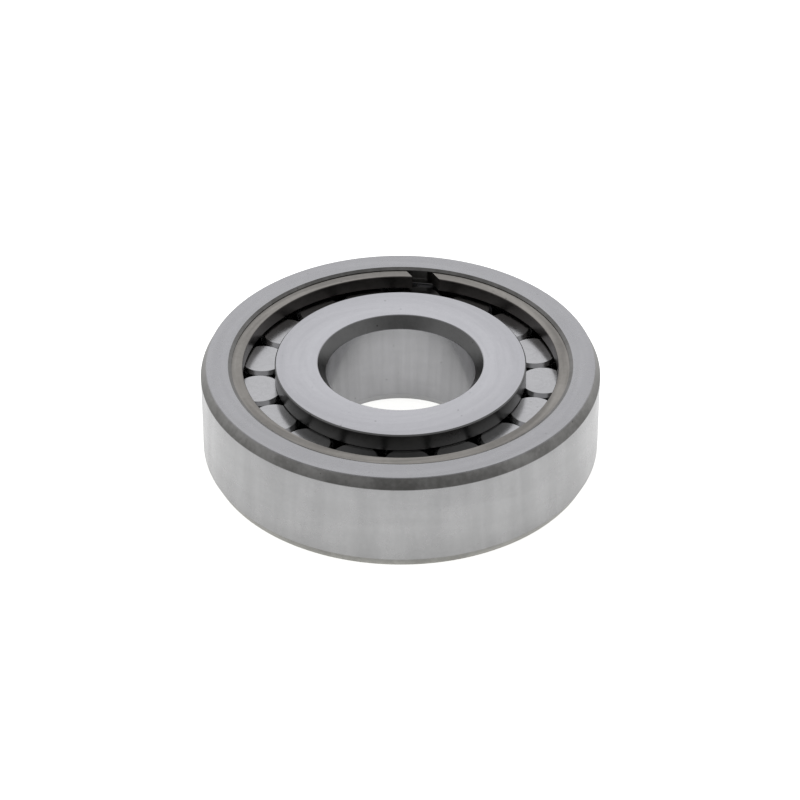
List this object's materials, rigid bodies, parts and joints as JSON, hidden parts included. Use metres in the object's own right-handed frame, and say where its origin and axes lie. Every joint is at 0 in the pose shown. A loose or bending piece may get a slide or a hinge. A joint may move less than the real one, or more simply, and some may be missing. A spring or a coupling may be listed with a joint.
{
  "type": "cylindrical roller bearing",
  "caption": "Single-row full-complement cylindrical roller bearing: outer ring with snap ring, inner ring with two shoulders, and a row of rollers with no cage.",
  "frame": {"origin": "centre of the bearing: on the axis, half-way between the side faces", "axes": "+Z along the axis, towards the side face with the snap ring; +X and +Y are across it"},
  "size_m": [0.08, 0.08, 0.021],
  "materials": {
    "ring_steel": "ground, lapped side faces, darker turned chamfers",
    "roller_steel": "finely ground and polished",
    "spring_steel": "tempered, warm brownish grey, satin"
  },
  "bodies": {
    "outer_ring": {"outer_ring": "ring_steel", "snap_ring": "spring_steel"},
    "inner_ring": {"inner_ring": "ring_steel"},
    "roller_01": {"roller_01": "roller_steel"},
    "roller_02": {"roller_02": "roller_steel"},
    "roller_03": {"roller_03": "roller_steel"},
    "roller_04": {"roller_04": "roller_steel"},
    "roller_05": {"roller_05": "roller_steel"},
    "roller_06": {"roller_06": "roller_steel"},
    "roller_07": {"roller_07": "roller_steel"},
    "roller_08": {"roller_08": "roller_steel"},
    "roller_09": {"roller_09": "roller_steel"},
    "roller_10": {"roller_10": "roller_steel"},
    "roller_11": {"roller_11": "roller_steel"},
    "roller_12": {"roller_12": "roller_steel"},
    "roller_13": {"roller_13": "roller_steel"},
    "roller_14": {"roller_14": "roller_steel"},
    "roller_15": {"roller_15": "roller_steel"},
    "roller_16": {"roller_16": "roller_steel"},
    "roller_17": {"roller_17": "roller_steel"}
  },
  "joints": [
    {"name": "inner_ring_spin", "type": "hinge", "parent": "outer_ring", "child": "inner_ring", "pos_m": [0, 0, 0], "axis": [0, 0, 1], "continuous": true},
    {"name": "roller_row_orbit", "type": "hinge", "parent": "outer_ring", "child": "roller_01", "pos_m": [0, 0, 0], "axis": [0, 0, 1], "continuous": true},
    {"name": "roller_02_spin", "type": "hinge", "parent": "roller_01", "child": "roller_02", "pos_m": [0.02195, 0.01834, 0], "axis": [0, 0, 1], "continuous": true},
    {"name": "roller_03_spin", "type": "hinge", "parent": "roller_01", "child": "roller_03", "pos_m": [0.01384, 0.02503, 0], "axis": [0, 0, 1], "continuous": true},
    {"name": "roller_04_spin", "type": "hinge", "parent": "roller_01", "child": "roller_04", "pos_m": [0.00387, 0.02834, 0], "axis": [0, 0, 1], "continuous": true},
    {"name": "roller_05_spin", "type": "hinge", "parent": "roller_01", "child": "roller_05", "pos_m": [-0.00663, 0.02782, 0], "axis": [0, 0, 1], "continuous": true},
    {"name": "roller_06_spin", "type": "hinge", "parent": "roller_01", "child": "roller_06", "pos_m": [-0.01623, 0.02355, 0], "axis": [0, 0, 1], "continuous": true},
    {"name": "roller_07_spin", "type": "hinge", "parent": "roller_01", "child": "roller_07", "pos_m": [-0.02364, 0.01609, 0], "axis": [0, 0, 1], "continuous": true},
    {"name": "roller_08_spin", "type": "hinge", "parent": "roller_01", "child": "roller_08", "pos_m": [-0.02786, 0.00646, 0], "axis": [0, 0, 1], "continuous": true},
    {"name": "roller_09_spin", "type": "hinge", "parent": "roller_01", "child": "roller_09", "pos_m": [-0.02831, -0.00404, 0], "axis": [0, 0, 1], "continuous": true},
    {"name": "roller_10_spin", "type": "hinge", "parent": "roller_01", "child": "roller_10", "pos_m": [-0.02494, -0.01399, 0], "axis": [0, 0, 1], "continuous": true},
    {"name": "roller_11_spin", "type": "hinge", "parent": "roller_01", "child": "roller_11", "pos_m": [-0.0182, -0.02206, 0], "axis": [0, 0, 1], "continuous": true},
    {"name": "roller_12_spin", "type": "hinge", "parent": "roller_01", "child": "roller_12", "pos_m": [-0.00901, -0.02714, 0], "axis": [0, 0, 1], "continuous": true},
    {"name": "roller_13_spin", "type": "hinge", "parent": "roller_01", "child": "roller_13", "pos_m": [0.00141, -0.02856, 0], "axis": [0, 0, 1], "continuous": true},
    {"name": "roller_14_spin", "type": "hinge", "parent": "roller_01", "child": "roller_14", "pos_m": [0.01163, -0.02613, 0], "axis": [0, 0, 1], "continuous": true},
    {"name": "roller_15_spin", "type": "hinge", "parent": "roller_01", "child": "roller_15", "pos_m": [0.02028, -0.02016, 0], "axis": [0, 0, 1], "continuous": true},
    {"name": "roller_16_spin", "type": "hinge", "parent": "roller_01", "child": "roller_16", "pos_m": [0.0262, -0.01147, 0], "axis": [0, 0, 1], "continuous": true},
    {"name": "roller_17_spin", "type": "hinge", "parent": "roller_01", "child": "roller_17", "pos_m": [0.02857, -0.00124, 0], "axis": [0, 0, 1], "continuous": true}
  ],
  "couplings": [
    {"joint": "roller_row_orbit", "follows": "inner_ring_spin", "ratio": 0.40874},
    {"joint": "roller_02_spin", "follows": "inner_ring_spin", "ratio": -2.6583},
    {"joint": "roller_03_spin", "follows": "inner_ring_spin", "ratio": -2.6583},
    {"joint": "roller_04_spin", "follows": "inner_ring_spin", "ratio": -2.6583},
    {"joint": "roller_05_spin", "follows": "inner_ring_spin", "ratio": -2.6583},
    {"joint": "roller_06_spin", "follows": "inner_ring_spin", "ratio": -2.6583},
    {"joint": "roller_07_spin", "follows": "inner_ring_spin", "ratio": -2.6583},
    {"joint": "roller_08_spin", "follows": "inner_ring_spin", "ratio": -2.6583},
    {"joint": "roller_09_spin", "follows": "inner_ring_spin", "ratio": -2.6583},
    {"joint": "roller_10_spin", "follows": "inner_ring_spin", "ratio": -2.6583},
    {"joint": "roller_11_spin", "follows": "inner_ring_spin", "ratio": -2.6583},
    {"joint": "roller_12_spin", "follows": "inner_ring_spin", "ratio": -2.6583},
    {"joint": "roller_13_spin", "follows": "inner_ring_spin", "ratio": -2.6583},
    {"joint": "roller_14_spin", "follows": "inner_ring_spin", "ratio": -2.6583},
    {"joint": "roller_15_spin", "follows": "inner_ring_spin", "ratio": -2.6583},
    {"joint": "roller_16_spin", "follows": "inner_ring_spin", "ratio": -2.6583},
    {"joint": "roller_17_spin", "follows": "inner_ring_spin", "ratio": -2.6583}
  ]
}
